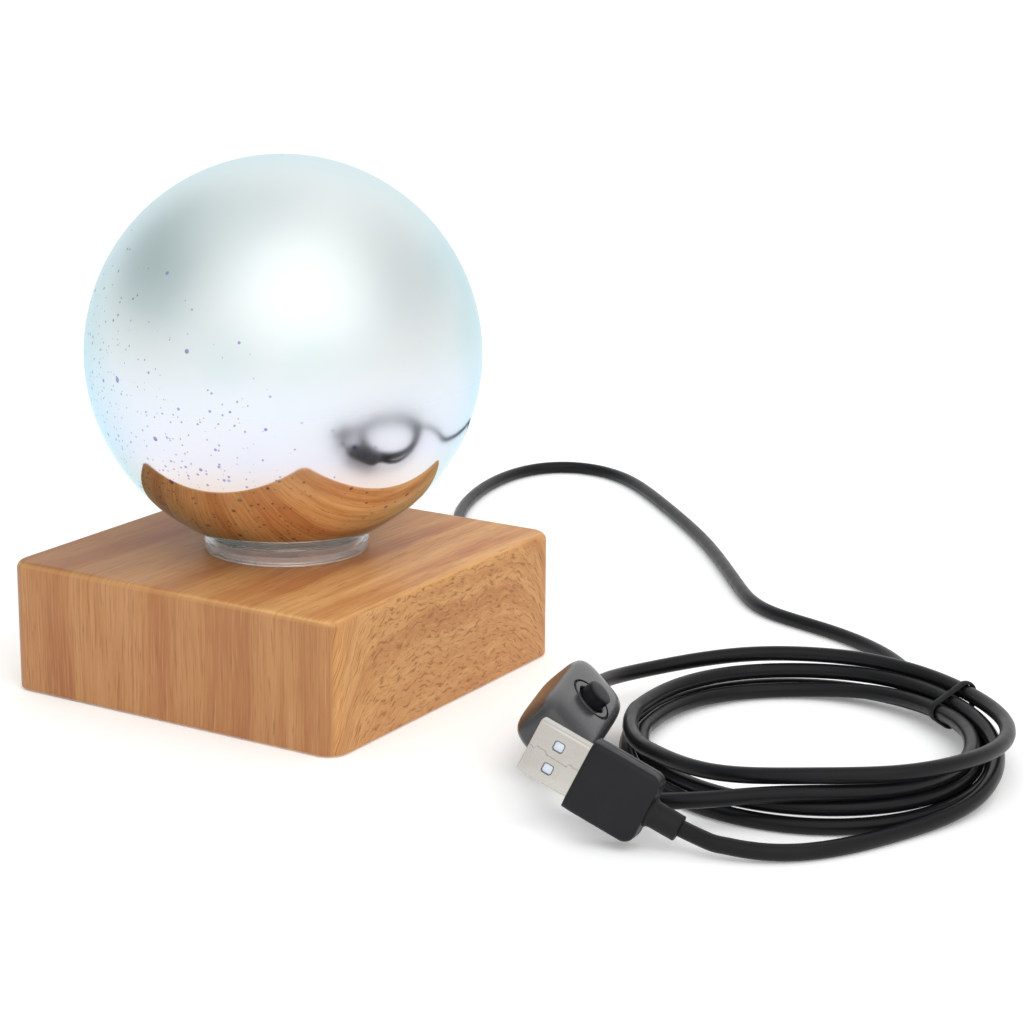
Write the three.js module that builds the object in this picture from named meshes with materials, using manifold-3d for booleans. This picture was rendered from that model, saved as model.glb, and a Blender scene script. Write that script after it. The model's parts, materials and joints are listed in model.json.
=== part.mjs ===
// A mirrored glass globe lamp on a square wooden block, with a USB lead, an inline push switch and a coil of
// spare lead. Millimetres, +Z up. The origin is the middle of the block's footprint on the desk, -Y is the
// block's front face and the lead leaves through the rear face, +Y.
import * as THREE from "three";
import { mergeVertices } from "three/addons/utils/BufferGeometryUtils.js";
import Module from "manifold-3d";

const wasm = await Module();
wasm.setup();

// ---- Driving dimensions ----
const GAP = 0.3; // between neighbouring pieces
const BASE = { side: 95, top: 32, bottom: 0.4, corner: 5.1, edge: 2, pocket: 75, ceiling: 22 };
const COVER = { side: 81.2, low: 1.9, high: 3.7, corner: 3, screwAt: 33.5, footAt: 25, postX: 20, postY: 13 };
const GLOBE = { radius: 47.5, centre: 79.6, wall: 1.2, neck: 17.7, neckBottom: 27 };
const COLLAR = { outer: 20, height: 3 };
const SOCKET = { flange: 24, spigot: 16.1, bore: 4, low: 18.7, screws: 3, screwAt: 21 };
const STEM = { outer: 5, inner: 3.6, top: 62 };
const LEDS = { count: 6, at: 6, board: 9, size: 3 };
const BOARD = { x: 50, y: 36, low: 8, thick: 1.6 };
const CORD = { radius: 1.8, exitHeight: 9.5, sides: 8 };
const SWITCH = { length: 37, width: 16.8, thick: 13.6, button: 3.1, proud: 2.9, bezel: 5.3 };
const PLUG = { width: 12, thick: 4.5, exposed: 11.9, hidden: 6, wall: 0.4 };
const GRIP = { length: 16.6, width: 15.6, thick: 8, relief: 7.2 };
const COIL = { x: 135.7, y: 11.5, turn: 31.54, across: 39.2, along: 46, inward: 5, outward: 2.5, height: 14.4 };
const TIE = { at: 24, out: 1.5, up: 5.8, tilt: 30, length: 12.2, height: 7.4, thick: 0.8, wide: 2 };

// ---- Finishes ----
const finish = (color, roughness, metalness = 0) =>
  new THREE.MeshStandardMaterial({ color, roughness, metalness });
const WOOD = finish(0xc8965f, 0.45);
const MIRROR = finish(0xd6e2e6, 0.06, 1);
const CLEAR = finish(0xcfd8dc, 0.1);
const BLACK = finish(0x17171a, 0.45);
const GRAPHITE = finish(0x3a3b3d, 0.35);
const RUBBER = finish(0x1c1c1c, 0.8);
const STEEL = finish(0xb9b6ae, 0.3, 1);
const ALUMINIUM = finish(0xa9adb1, 0.35, 1);
const GOLD = finish(0xc9a24a, 0.25, 1);
const WHITE = finish(0xdfe6ee, 0.5);
const GREEN = finish(0x1d5b38, 0.5);
const RED = finish(0x8f1d1a, 0.5);

// ---- Helpers ----
const root = new THREE.Group();

// A closed geometry as a manifold solid.
function solid(geometry) {
  const g = geometry.clone();
  g.deleteAttribute("normal");
  g.deleteAttribute("uv");
  const merged = mergeVertices(g, 1e-4);
  return new wasm.Manifold(
    new wasm.Mesh({
      numProp: 3,
      vertProperties: new Float32Array(merged.attributes.position.array),
      triVerts: new Uint32Array(merged.index.array),
    }),
  );
}

// A manifold solid back as a geometry.
function geometryOf(made) {
  const mesh = made.getMesh();
  return new THREE.BufferGeometry()
    .setAttribute("position", new THREE.BufferAttribute(new Float32Array(mesh.vertProperties), 3))
    .setIndex(new THREE.BufferAttribute(new Uint32Array(mesh.triVerts), 1));
}

// Adds one named sub-part to a group.
function part(name, shape, material, group = root) {
  const mesh = new THREE.Mesh(shape.isBufferGeometry ? shape : geometryOf(shape), material);
  mesh.name = name;
  group.add(mesh);
  return mesh;
}

// A solid of revolution about Z through [radius, height] points that close on themselves.
function turned(points, sides = 32) {
  const profile = points.map(([r, z]) => new THREE.Vector2(r, z));
  if (points[0][0] > 0) profile.push(profile[0].clone());
  return new THREE.LatheGeometry(profile, sides).rotateX(Math.PI / 2);
}

// A plain cylinder along Z between two heights.
const rod = (radius, low, high, sides = 24) => turned([[0, low], [radius, low], [radius, high], [0, high]], sides);

// A washer or tube along Z.
const ring = (inner, outer, low, high, sides = 32) =>
  turned([[inner, low], [outer, low], [outer, high], [inner, high]], sides);

// A box between two corners.
const box = (x0, y0, z0, x1, y1, z1) =>
  new THREE.BoxGeometry(x1 - x0, y1 - y0, z1 - z0).translate((x0 + x1) / 2, (y0 + y1) / 2, (z0 + z1) / 2);

// A rectangle with rounded corners, centred on the origin.
function rounded(width, depth, corner) {
  const [x, y, r] = [width / 2, depth / 2, corner];
  const shape = new THREE.Shape();
  shape.moveTo(r - x, -y).lineTo(x - r, -y);
  shape.absarc(x - r, r - y, r, -Math.PI / 2, 0);
  shape.absarc(x - r, y - r, r, 0, Math.PI / 2);
  shape.absarc(r - x, y - r, r, Math.PI / 2, Math.PI);
  shape.absarc(r - x, r - y, r, Math.PI, 1.5 * Math.PI);
  return shape;
}

// A rounded rectangle extruded from one height to another, with bevelled rims.
function slab(width, depth, corner, low, high, bevel = 0) {
  const shape = rounded(width - 2 * bevel, depth - 2 * bevel, corner - bevel);
  return new THREE.ExtrudeGeometry(shape, {
    depth: high - low - 2 * bevel,
    bevelEnabled: bevel > 0,
    bevelThickness: bevel,
    bevelSize: bevel,
    bevelSegments: 3,
    curveSegments: 6,
  }).translate(0, 0, low + bevel);
}

// A tube with a many-sided section along a smooth line through points.
function tube(points, radius, steps, sides = CORD.sides) {
  const section = new THREE.Shape();
  for (let i = 0; i < sides; i++) {
    const angle = (2 * Math.PI * i) / sides;
    section[i ? "lineTo" : "moveTo"](radius * Math.cos(angle), radius * Math.sin(angle));
  }
  const path = new THREE.CatmullRomCurve3(points.map((p) => new THREE.Vector3(...p)));
  return new THREE.ExtrudeGeometry(section, { steps, bevelEnabled: false, extrudePath: path });
}

// The four corners of a rectangle about the origin.
const corners = (x, y = x) => [[-x, -y], [x, -y], [x, y], [-x, y]];

// ---- Wooden block ----
function woodenBlock() {
  let block = solid(slab(BASE.side, BASE.side, BASE.corner, BASE.bottom - 4, BASE.top, BASE.edge));
  const half = BASE.side;
  block = block.subtract(solid(box(-half, -half, -9, half, half, BASE.bottom)));
  let pocket = solid(slab(BASE.pocket, BASE.pocket, 3, -5, BASE.ceiling));
  for (const [x, y] of corners(COVER.screwAt)) pocket = pocket.subtract(solid(rod(7, -9, 30).translate(x, y, 0)));
  block = block.subtract(pocket);
  block = block.subtract(solid(slab(COVER.side + 0.8, COVER.side + 0.8, COVER.corner, -5, COVER.high + GAP)));
  block = block.subtract(solid(rod(GLOBE.neck + 0.5, 10, 40, 48)));
  for (const [x, y] of corners(COVER.screwAt)) block = block.subtract(solid(rod(1.6, 0, 13, 12).translate(x, y, 0)));
  for (const [x, y] of socketScrews()) block = block.subtract(solid(rod(1.2, 20, 29, 12).translate(x, y, 0)));
  const hole = rod(3.4, 30, 60).rotateX(-Math.PI / 2).translate(0, 0, CORD.exitHeight);
  return block.subtract(solid(hole));
}

function socketScrews() {
  return Array.from({ length: SOCKET.screws }, (_, i) => {
    const angle = (2 * Math.PI * i) / SOCKET.screws + Math.PI / 6;
    return [SOCKET.screwAt * Math.cos(angle), SOCKET.screwAt * Math.sin(angle)];
  });
}

part("base_block", woodenBlock(), WOOD);

// ---- Bottom cover, with its feet, screws and posts for the circuit board ----
function bottomCover() {
  let cover = solid(slab(COVER.side, COVER.side, COVER.corner - 0.4, COVER.low, COVER.high));
  for (const [x, y] of corners(COVER.postX, COVER.postY))
    cover = cover.add(solid(rod(2.5, COVER.high - 0.5, BOARD.low - GAP, 16).translate(x, y, 0)));
  for (const [x, y] of corners(COVER.screwAt)) cover = cover.subtract(solid(rod(1.7, 0, 9, 12).translate(x, y, 0)));
  return cover;
}

// A pan-head screw along +Z whose head's upper face is at the given height.
const screw = (head, shank, seat, tip, thick = 1) =>
  turned([[0, seat - thick], [head * 0.8, seat - thick], [head, seat - 0.6 * thick], [head, seat], [shank, seat],
    [shank, tip - 1], [0, tip]], 16);

part("base_cover", bottomCover(), GRAPHITE);
corners(COVER.screwAt).forEach(([x, y], i) =>
  part(`cover_screw_${i + 1}`, screw(2.7, 1.3, COVER.low - GAP, 12), STEEL).position.set(x, y, 0));
corners(COVER.footAt).forEach(([x, y], i) =>
  part(`foot_${i + 1}`, turned([[0, 0], [4.6, 0], [5, 0.4], [5, 1.6], [0, 1.6]], 24), RUBBER).position.set(x, y, 0));

// ---- Circuit board and what stands on it ----
function circuitBoard() {
  const low = BOARD.low;
  let board = solid(slab(BOARD.x, BOARD.y, 1.5, low, low + BOARD.thick));
  for (const [x, y] of corners(COVER.postX, COVER.postY)) board = board.subtract(solid(rod(1.1, 0, 20, 12).translate(x, y, 0)));
  return board;
}

const boardTop = BOARD.low + BOARD.thick + GAP;
part("circuit_board", circuitBoard(), GREEN);
corners(COVER.postX, COVER.postY).filter((_, i) => i % 2 === 0).forEach(([x, y], i) => {
  const fastener = screw(1.9, 0.8, 0, 2, 1.1).rotateX(Math.PI);
  part(`board_screw_${i + 1}`, fastener, STEEL).position.set(x, y, boardTop);
});
part("controller_chip", box(-14, -6, boardTop, -6, 0, boardTop + 1.6), BLACK);
part("capacitor", rod(3, boardTop, boardTop + 7, 20).translate(14, -8, 0), ALUMINIUM);
part("lead_connector", box(-5, 8, boardTop, 5, 15, boardTop + 6), WHITE);

// ---- Globe, clear collar and the socket that holds them ----
function glassGlobe() {
  const { radius, centre, wall, neck, neckBottom } = GLOBE;
  const wallPoints = (r, n, steps) => {
    const seam = Math.asin(n / r);
    return Array.from({ length: steps + 1 }, (_, i) => {
      const angle = seam + ((Math.PI - seam) * i) / steps;
      return [r * Math.sin(angle), centre - r * Math.cos(angle)];
    });
  };
  const outside = wallPoints(radius, neck, 22);
  const inside = wallPoints(radius - wall, neck - wall, 20);
  outside[outside.length - 1][0] = 0;
  inside[inside.length - 1][0] = 0;
  return turned([...inside.reverse(), [neck - wall, neckBottom], [neck, neckBottom], ...outside], 48);
}

part("glass_globe", glassGlobe(), MIRROR);
const collarLow = BASE.top + GAP;
part("collar_ring", turned([[GLOBE.neck + GAP, collarLow], [COLLAR.outer, collarLow],
  [COLLAR.outer, collarLow + COLLAR.height - 0.5], [COLLAR.outer - 0.5, collarLow + COLLAR.height],
  [GLOBE.neck + GAP, collarLow + COLLAR.height]], 48), CLEAR);

function lampSocket() {
  const { flange, spigot, bore, low } = SOCKET;
  const seat = BASE.ceiling - GAP;
  let socket = solid(turned([[bore, low], [flange, low], [flange, seat], [spigot, seat], [spigot, 34], [bore, 34]], 48));
  for (const [x, y] of socketScrews()) socket = socket.subtract(solid(rod(1.3, 10, 30, 12).translate(x, y, 0)));
  return socket;
}

part("lamp_socket", lampSocket(), BLACK);
socketScrews().forEach(([x, y], i) =>
  part(`socket_screw_${i + 1}`, screw(2.2, 0.9, SOCKET.low - GAP, 27), STEEL).position.set(x, y, 0));
part("led_stem", ring(STEM.inner, STEM.outer, 34 + GAP, STEM.top, 24), ALUMINIUM);
part("led_board", rod(LEDS.board, STEM.top + GAP, STEM.top + GAP + 1.4, 32), WHITE);
const ledSeat = STEM.top + 2 * GAP + 1.4;
for (let i = 0; i < LEDS.count; i++) {
  const angle = (2 * Math.PI * i) / LEDS.count;
  const half = LEDS.size / 2;
  part(`led_${i + 1}`, box(-half, -half, ledSeat, half, half, ledSeat + 1), GOLD)
    .position.set(LEDS.at * Math.cos(angle), LEDS.at * Math.sin(angle), 0);
}
for (const [name, y, material] of [["wire_positive", 1.4, RED], ["wire_negative", -1.4, BLACK]])
  part(name, rod(0.7, boardTop, STEM.top, 8).translate(0, y, 0), material);

// ---- Where the lead enters the block ----
const rear = BASE.side / 2;
const alongY = (geometry) => geometry.rotateX(-Math.PI / 2).translate(0, 0, CORD.exitHeight);
part("cord_grommet", alongY(turned([[CORD.radius + GAP, rear - 9.5], [3.1, rear - 9.5], [3.1, rear + GAP],
  [4.6, rear + GAP], [4.4, rear + 1.6], [3.6, rear + 2.2], [2.9, rear + 7.5], [CORD.radius + GAP, rear + 7.5]], 24)), RUBBER);
part("lead_inner", alongY(rod(CORD.radius, 15 + GAP, rear - 10, CORD.sides).translate(0, 0, 0)), BLACK)
  .position.set(0, 0, 2);
part("cord_clamp", solid(box(-6, rear - 19, 5.2, 6, rear - 14, 17))
  .subtract(solid(alongY(rod(CORD.radius + GAP, 0, 60, 12).translate(0, 0, 0)).translate(0, 0, 2))), GRAPHITE);

// ---- Inline push switch: its own frame has X along the lead and Z out through the button ----
const lean = THREE.MathUtils.degToRad(47);
const heading = new THREE.Vector3(-0.303, 0.953, 0).normalize();
const buttonAxis = new THREE.Vector3(heading.y, -heading.x, 0).multiplyScalar(Math.sin(lean));
buttonAxis.z = Math.cos(lean);
const switchGroup = new THREE.Group();
switchGroup.applyMatrix4(new THREE.Matrix4().makeBasis(heading, buttonAxis.clone().cross(heading), buttonAxis));
switchGroup.position.set(90.8, -17.7, 10.1);
root.add(switchGroup);

// The pillow-shaped housing: superellipse sections that close in towards both ends.
function pillow(length, width, thick) {
  const [stations, sides, squareness] = [10, 28, 0.45];
  const positions = [];
  const triangles = [];
  const power = (v) => Math.sign(v) * Math.abs(v) ** squareness;
  for (let i = 0; i <= stations; i++) {
    const s = 0.985 * Math.sin(((i / stations - 0.5) * Math.PI));
    const scale = (1 - Math.abs(s) ** 5) ** 0.2;
    for (let j = 0; j < sides; j++) {
      const angle = (2 * Math.PI * j) / sides;
      positions.push((s * length) / 2, (scale * width * power(Math.cos(angle))) / 2, (scale * thick * power(Math.sin(angle))) / 2);
    }
  }
  const at = (i, j) => i * sides + (j % sides);
  for (let i = 0; i < stations; i++)
    for (let j = 0; j < sides; j++)
      triangles.push(at(i, j), at(i, j + 1), at(i + 1, j + 1), at(i, j), at(i + 1, j + 1), at(i + 1, j));
  for (let j = 1; j < sides - 1; j++)
    triangles.push(at(0, 0), at(0, j + 1), at(0, j), at(stations, 0), at(stations, j), at(stations, j + 1));
  return new THREE.BufferGeometry()
    .setAttribute("position", new THREE.Float32BufferAttribute(positions, 3)).setIndex(triangles);
}

const face = SWITCH.thick / 2;
let housing = solid(pillow(SWITCH.length, SWITCH.width, SWITCH.thick));
housing = housing.subtract(solid(box(-7, -5, 1.8 - face, 7, 5, face - 1.8)));
housing = housing.subtract(solid(rod(SWITCH.button + 0.4, 0, 12)));
housing = housing.subtract(solid(rod(SWITCH.bezel + GAP, face - 1.1, 12)));
for (const x of [-12, 12]) {
  housing = housing.subtract(solid(rod(1.3, -12, 4, 12).translate(x, 0, 0)));
  housing = housing.subtract(solid(rod(2.2, -12, 2.4 - face, 16).translate(x, 0, 0)));
}
const above = solid(box(-30, -20, 0.15, 30, 20, 20));
const below = solid(box(-30, -20, -20, 30, 20, -0.15));
part("switch_shell_top", housing.intersect(above), GRAPHITE, switchGroup);
part("switch_shell_bottom", housing.intersect(below), GRAPHITE, switchGroup);
part("switch_bezel", turned([[SWITCH.button + 0.4, face - 0.8], [SWITCH.bezel, face - 0.8], [SWITCH.bezel, face - 0.1],
  [SWITCH.bezel - 0.5, face + 0.2], [SWITCH.button + 0.4, face + 0.2]], 32), BLACK, switchGroup);
part("switch_button", turned([[0, 3], [SWITCH.button, 3], [SWITCH.button, face + SWITCH.proud - 0.5],
  [SWITCH.button - 0.5, face + SWITCH.proud], [0, face + SWITCH.proud]], 28), BLACK, switchGroup);
part("switch_contact_block", box(-5, -3.6, -4.6, 5, 3.6, -1), BLACK, switchGroup);
part("switch_spring", ring(1.3, 2.1, -0.7, 1.1, 16), STEEL, switchGroup);
[-12, 12].forEach((x, i) =>
  part(`switch_screw_${i + 1}`, screw(1.9, 0.95, 2.1 - face, 3).translate(x, 0, 0), STEEL, switchGroup));
const housingEnd = (0.985 * SWITCH.length) / 2 + GAP;
for (const [name, side] of [["switch_gland_far", 1], ["switch_gland_near", -1]]) {
  const gland = turned([[0, housingEnd], [2.9, housingEnd], [2.3, housingEnd + 3.4], [0, housingEnd + 3.4]], 20);
  part(name, gland.rotateY((side * Math.PI) / 2), RUBBER, switchGroup);
}

// ---- USB plug: its own frame has X towards the tip and Y across the width ----
const tip = new THREE.Vector3(-0.896, -0.177, 0.407).normalize();
const across = new THREE.Vector3(0.348, 0.289, 0.892);
across.addScaledVector(tip, -across.dot(tip)).normalize();
const plugGroup = new THREE.Group();
plugGroup.applyMatrix4(new THREE.Matrix4().makeBasis(tip, across, tip.clone().cross(across)));
plugGroup.position.set(116.6, -57.3, 14.7);
root.add(plugGroup);

// A slab of the plug, extruded along the plug's length.
const alongX = (geometry) => geometry.applyMatrix4(new THREE.Matrix4().set(0, 0, 1, 0, 1, 0, 0, 0, 0, 1, 0, 0, 0, 0, 0, 1));

function plugShell() {
  const { width, thick, exposed, hidden, wall } = PLUG;
  const outer = solid(alongX(slab(width, thick, 0.7, -hidden, exposed)));
  const inner = solid(alongX(slab(width - 2 * wall, thick - 2 * wall, 0.4, -hidden - 1, exposed + 1)));
  let shell = outer.subtract(inner);
  for (const y of [-2.6, 2.6]) shell = shell.subtract(solid(box(4.6, y - 1.15, -3, 7, y + 1.15, 3)));
  return shell;
}

part("usb_shell", plugShell(), STEEL, plugGroup);
const tongueLow = PLUG.wall + GAP - PLUG.thick / 2;
part("usb_tongue", box(-PLUG.hidden, -5.2, tongueLow, PLUG.exposed - 0.5, 5.2, tongueLow + 1.7), WHITE, plugGroup);
[-3.5, -1.2, 1.2, 3.5].forEach((y, i) => {
  const low = tongueLow + 1.7 + GAP;
  part(`usb_contact_${i + 1}`, box(2, y - 0.5, low, 10, y + 0.5, low + 0.3), GOLD, plugGroup);
});

function plugGrip() {
  const { length, width, thick } = GRIP;
  const grip = solid(slab(length, width, 2.6, -thick / 2, thick / 2, 0.9).translate(-length / 2, 0, 0));
  const { width: w, thick: t, hidden } = PLUG;
  return grip.subtract(solid(box(-hidden - GAP, -w / 2 - GAP, -t / 2 - GAP, 2, w / 2 + GAP, t / 2 + GAP)));
}

part("usb_grip", plugGrip(), BLACK, plugGroup);
const reliefStart = GRIP.length + GAP;
part("usb_strain_relief", turned([[0, reliefStart], [2.9, reliefStart], [2.6, reliefStart + GRIP.relief],
  [0, reliefStart + GRIP.relief]], 20).rotateY(-Math.PI / 2), RUBBER, plugGroup);

// ---- Coil of spare lead: an oval ring that holds all its turns, with a waist where the tie grips it ----
const coilGroup = new THREE.Group();
coilGroup.position.set(COIL.x, COIL.y, 0);
coilGroup.rotation.z = THREE.MathUtils.degToRad(COIL.turn);
root.add(coilGroup);

// The tie's own frame: X is out from the coil's middle and upwards, Y along the turns.
const tieAngle = THREE.MathUtils.degToRad(TIE.at);
const outward = Math.atan2(Math.sin(tieAngle) / COIL.along, Math.cos(tieAngle) / COIL.across);
const tieFrame = new THREE.Matrix4()
  .makeTranslation(COIL.across * Math.cos(tieAngle), COIL.along * Math.sin(tieAngle), TIE.up)
  .multiply(new THREE.Matrix4().makeRotationZ(outward))
  .multiply(new THREE.Matrix4().makeTranslation(TIE.out, 0, 0))
  .multiply(new THREE.Matrix4().makeRotationY(-THREE.MathUtils.degToRad(TIE.tilt)));

// An oval slice across the turns, in the tie's frame.
function slice(grow, depth, hole) {
  const oval = (g) => rounded(TIE.length + 2 * g, TIE.height + 2 * g, TIE.height / 2 + g - 0.2);
  const outline = oval(grow);
  if (hole) outline.holes.push(new THREE.Path(oval(0).getPoints(5)));
  return new THREE.ExtrudeGeometry(outline, { depth, bevelEnabled: false, curveSegments: 5 })
    .translate(0, 0, -depth / 2).rotateX(Math.PI / 2).applyMatrix4(tieFrame);
}

function coil() {
  const oval = ring(COIL.across - COIL.inward, COIL.across + COIL.outward, 0.1, COIL.height, 48)
    .scale(1, COIL.along / COIL.across, 1);
  const reach = TIE.wide / 2 + GAP;
  const cut = solid(box(-20, -reach, -20, 20, reach, 20).applyMatrix4(tieFrame));
  return solid(oval).subtract(cut.subtract(solid(slice(-GAP, 4 * reach))));
}

part("cord_coil", coil(), BLACK, coilGroup);
part("cord_tie", slice(TIE.thick, TIE.wide, true), RUBBER, coilGroup);

// ---- Free lengths of lead, laid on the desk ----
const LEAD_ROUTE = [
  [0, 55.6, 9.3], [-0.6, 63, 7.9], [-3, 74, 4.4], [-8.5, 90, 2.1], [-18, 107, 1.85], [-30, 124, 1.85],
  [-41, 141, 1.85], [-49, 160, 1.85], [-54, 181, 1.85], [-54, 200, 1.85], [-47.5, 211.5, 1.85],
  [-35, 214, 1.85], [-19.5, 207, 1.85], [4, 186, 1.85], [32.5, 157.5, 1.85], [52.5, 133.5, 1.85],
  [70, 111.5, 1.85], [78.5, 103, 1.85], [88.5, 100.6, 1.85], [104.6, 96, 1.85], [119, 88.5, 1.85],
  [130.5, 78.5, 2], [136.6, 69.3, 2.2], [141.2, 62, 3.2], [143.6, 59.6, 3.7],
];
const SWITCH_IN_ROUTE = [
  [139.5, -39.9, 7.4], [132.5, -42.3, 6.4], [123.5, -45.6, 5.6], [115, -49.2, 5.2], [107.6, -51.2, 6.2],
  [101.7, -47.2, 8.2], [98.6, -42.6, 9.7], [97.6, -39.1, 10.1],
];
const SWITCH_OUT_ROUTE = [
  [84, 3.7, 10.1], [81.6, 12, 8.9], [81, 18.5, 7.8], [82.8, 25.2, 7.2], [87.5, 33.6, 7.6], [94.9, 41.8, 8.6],
];
const PLUG_ROUTE = [
  [172, -27.4, 1.85], [169.6, -32, 1.85], [162.2, -42, 1.85], [155, -48.8, 1.85], [149.5, -52, 1.9],
  [144.8, -52.6, 2.5], [141.2, -52.5, 3.6], [138.5, -53, 4.8],
];
for (const [name, route, steps] of [["lead_run", LEAD_ROUTE, 44], ["switch_in_lead", SWITCH_IN_ROUTE, 10],
  ["switch_out_lead", SWITCH_OUT_ROUTE, 8], ["plug_lead", PLUG_ROUTE, 10]])
  part(name, tube(route, CORD.radius, steps), BLACK);

export default root;
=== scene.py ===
import json
import math

import bmesh
import bpy
import numpy as np
from mathutils import Matrix, Vector


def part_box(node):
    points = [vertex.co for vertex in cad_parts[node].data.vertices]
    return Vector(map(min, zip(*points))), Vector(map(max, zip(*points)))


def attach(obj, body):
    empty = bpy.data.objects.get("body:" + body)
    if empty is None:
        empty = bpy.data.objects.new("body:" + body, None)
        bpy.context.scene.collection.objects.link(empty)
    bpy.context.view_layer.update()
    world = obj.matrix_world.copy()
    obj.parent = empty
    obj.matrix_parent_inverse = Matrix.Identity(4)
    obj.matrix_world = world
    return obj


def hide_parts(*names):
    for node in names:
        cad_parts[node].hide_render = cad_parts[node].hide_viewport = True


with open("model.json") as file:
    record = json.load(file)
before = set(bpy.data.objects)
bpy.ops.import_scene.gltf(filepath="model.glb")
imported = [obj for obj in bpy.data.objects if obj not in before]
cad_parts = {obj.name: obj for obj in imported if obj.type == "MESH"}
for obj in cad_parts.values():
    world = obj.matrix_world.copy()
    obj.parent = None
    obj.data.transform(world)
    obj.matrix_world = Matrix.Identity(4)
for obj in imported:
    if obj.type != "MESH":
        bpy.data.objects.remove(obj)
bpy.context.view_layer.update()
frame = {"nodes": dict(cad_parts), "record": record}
# The scene is in metres. The shape helpers take millimetres, and MM turns one into the other.
MM = 0.001
scene = bpy.context.scene

# ---------------------------------------------------------------- camera
# Fitted to the block's corners, the globe's outline, the collar and the plug together.
camera_data = bpy.data.cameras.new("camera")
camera_data.lens, camera_data.sensor_width = 95.4, 36
camera = bpy.data.objects.new("camera", camera_data)
scene.collection.objects.link(camera)
camera_axes = Matrix(((0.8512, -0.1409, 0.5056), (0.5248, 0.2146, -0.8237), (0.0076, 0.9665, 0.2566)))
camera.matrix_world = Matrix.Translation((0.3803, -0.5148, 0.2101)) @ camera_axes.to_4x4()
scene.camera = camera


# ---------------------------------------------------------------- shader helpers
class Shader:
    """A Principled material and short calls for the nodes that feed it."""

    def __init__(self, name, color=(0.8, 0.8, 0.8), rough=0.5, metal=0.0, specular=0.5):
        self.material = bpy.data.materials.new(name)
        self.material.use_nodes = True
        self.tree = self.material.node_tree
        self.base = self.tree.nodes["Principled BSDF"]
        self.base.inputs["Base Color"].default_value = (*color, 1)
        self.base.inputs["Roughness"].default_value = rough
        self.base.inputs["Metallic"].default_value = metal
        self.base.inputs["Specular IOR Level"].default_value = specular
        self.place = self.add("ShaderNodeTexCoord").outputs["Object"]

    def add(self, kind, **settings):
        node = self.tree.nodes.new(kind)
        for key, value in settings.items():
            setattr(node, key, value)
        return node

    def put(self, socket, value):
        if isinstance(value, bpy.types.NodeSocket):
            self.tree.links.new(value, socket)
        else:
            socket.default_value = value

    def math(self, operation, *values):
        node = self.add("ShaderNodeMath", operation=operation)
        for socket, value in zip(node.inputs, values):
            self.put(socket, value)
        return node.outputs[0]

    def split(self, vector):
        node = self.add("ShaderNodeSeparateXYZ")
        self.put(node.inputs[0], vector)
        return node.outputs

    def join(self, x, y, z):
        node = self.add("ShaderNodeCombineXYZ")
        for socket, value in zip(node.inputs, (x, y, z)):
            self.put(socket, value)
        return node.outputs[0]

    def noise(self, vector, scale=1.0, detail=2.0, rough=0.5, distortion=0.0):
        node = self.add("ShaderNodeTexNoise")
        for key, value in (("Vector", vector), ("Scale", scale), ("Detail", detail), ("Roughness", rough),
                           ("Distortion", distortion)):
            self.put(node.inputs[key], value)
        return node.outputs["Fac"]

    def range(self, value, low, high, to_low=0.0, to_high=1.0):
        node = self.add("ShaderNodeMapRange", interpolation_type="SMOOTHSTEP")
        for socket, v in zip(node.inputs, (value, low, high, to_low, to_high)):
            self.put(socket, v)
        return node.outputs[0]

    def ramp(self, value, stops):
        node = self.add("ShaderNodeValToRGB")
        self.put(node.inputs[0], value)
        marks = node.color_ramp.elements
        while len(marks) < len(stops):
            marks.new(1.0)
        for mark, (at, color) in zip(marks, stops):
            mark.position, mark.color = at, (*color, 1)
        return node.outputs["Color"]

    def mix(self, factor, a, b, blend="MIX"):
        node = self.add("ShaderNodeMix", data_type="RGBA", blend_type=blend)
        for socket, value in zip((node.inputs[0], node.inputs[6], node.inputs[7]), (factor, a, b)):
            if isinstance(value, tuple):
                value = (*value, 1)
            self.put(socket, value)
        return node.outputs[2]

    def bump(self, height, strength, distance=0.0002):
        node = self.add("ShaderNodeBump")
        node.inputs["Strength"].default_value = strength
        node.inputs["Distance"].default_value = distance
        self.put(node.inputs["Height"], height)
        self.put(self.base.inputs["Normal"], node.outputs[0])

    def feed(self, name, value):
        self.put(self.base.inputs[name], value)


def moulded(name, color, rough, spread=0.06, grain=2600, strength=0.15, specular=0.5, metal=0.0, tone=0.12):
    """A moulded or machined surface: slightly uneven colour and gloss and a fine texture."""
    s = Shader(name, color, rough, metal, specular=specular)
    cloud = s.noise(s.place, 90, 4)
    dark = tuple(c * (1 - tone) for c in color)
    light = tuple(min(1, c * (1 + tone)) for c in color)
    s.feed("Base Color", s.ramp(cloud, ((0.35, dark), (0.65, light))))
    s.feed("Roughness", s.range(s.noise(s.place, 300, 3), 0.3, 0.7, rough - spread, rough + spread))
    s.bump(s.noise(s.place, grain, 2), strength, 0.00005)
    return s


# ---------------------------------------------------------------- mesh helpers
def finish_mesh(name, mesh_source, material, nodes, body="lamp", smooth_angle=40):
    """Turns a bmesh into a visible piece that rides a body and replaces CAD nodes."""
    mesh = bpy.data.meshes.new(name)
    bmesh.ops.recalc_face_normals(mesh_source, faces=mesh_source.faces)
    mesh_source.to_mesh(mesh)
    mesh_source.free()
    mesh.materials.append(material.material)
    for polygon in mesh.polygons:
        polygon.use_smooth = True
    piece = bpy.data.objects.new(name, mesh)
    scene.collection.objects.link(piece)
    mesh.set_sharp_from_angle(angle=math.radians(smooth_angle))
    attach(piece, body)
    if nodes:
        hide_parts(*nodes)
    return piece


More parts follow.
